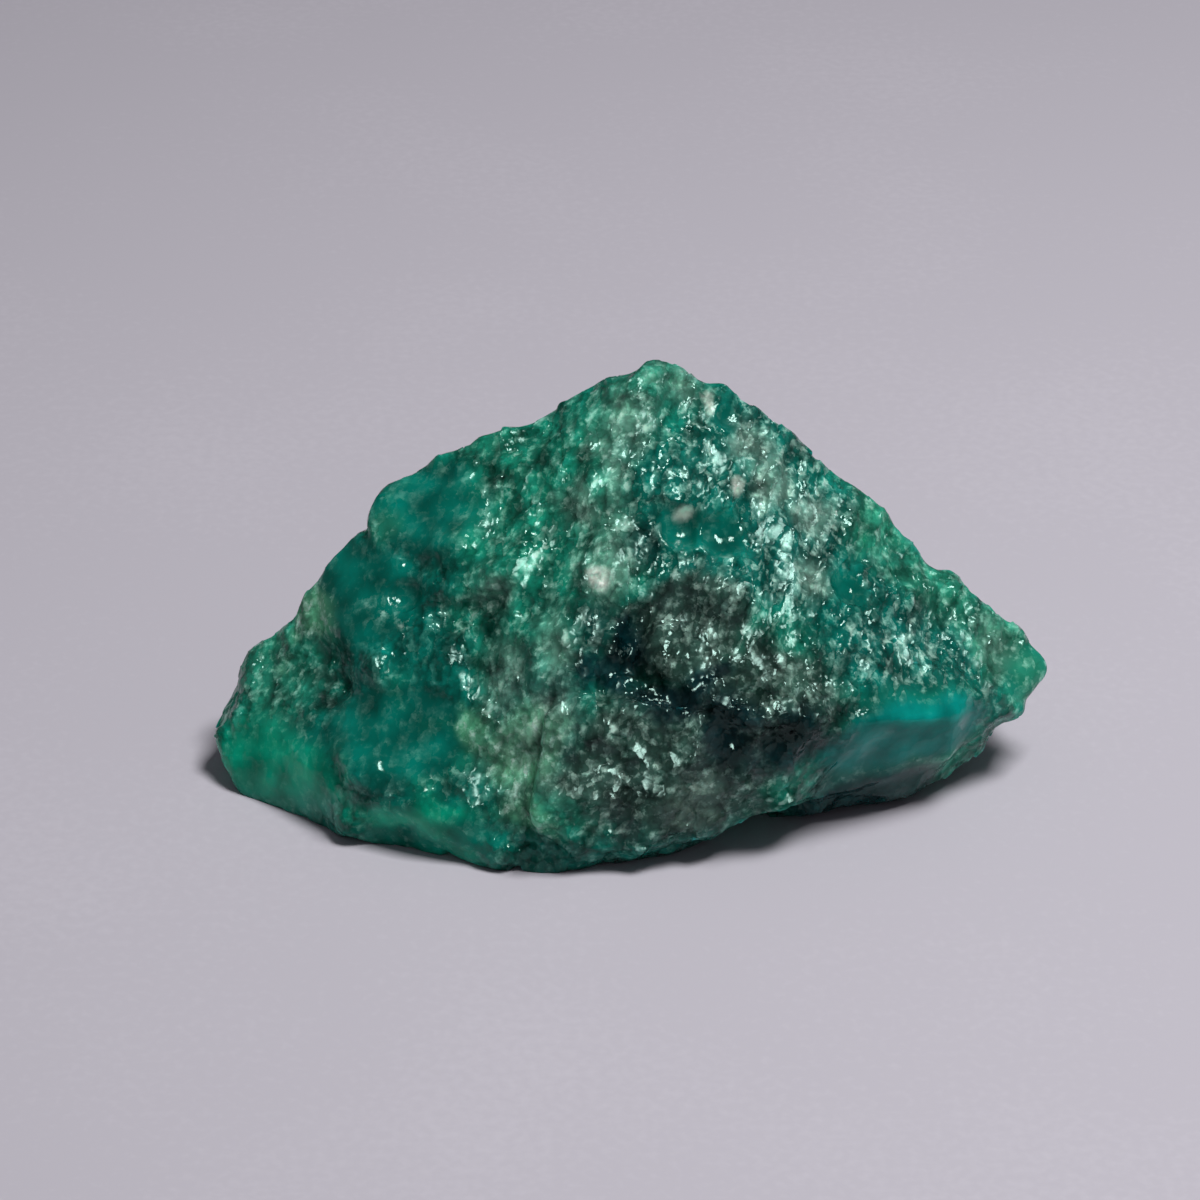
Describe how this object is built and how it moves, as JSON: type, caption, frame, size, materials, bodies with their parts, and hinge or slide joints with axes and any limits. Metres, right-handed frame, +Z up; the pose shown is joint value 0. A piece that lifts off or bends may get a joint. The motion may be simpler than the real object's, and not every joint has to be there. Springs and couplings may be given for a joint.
{
  "type": "rough translucent green gemstone specimen",
  "caption": "Rough piece of translucent green crystal with a blunt summit, a tapered tip, a rounded lobe, chipped and glassy broken faces, and a flat rest.",
  "frame": {"origin": "middle of the stone's length and depth, on the surface that it lies on", "axes": "+X along the stone towards its tapered tip, +Y to its back, +Z up through its summit"},
  "size_m": [0.0316, 0.0184, 0.015],
  "materials": {
    "green_crystal": "broken, glassy"
  },
  "bodies": {
    "root": {"rough_stone": "green_crystal"}
  },
  "joints": []
}
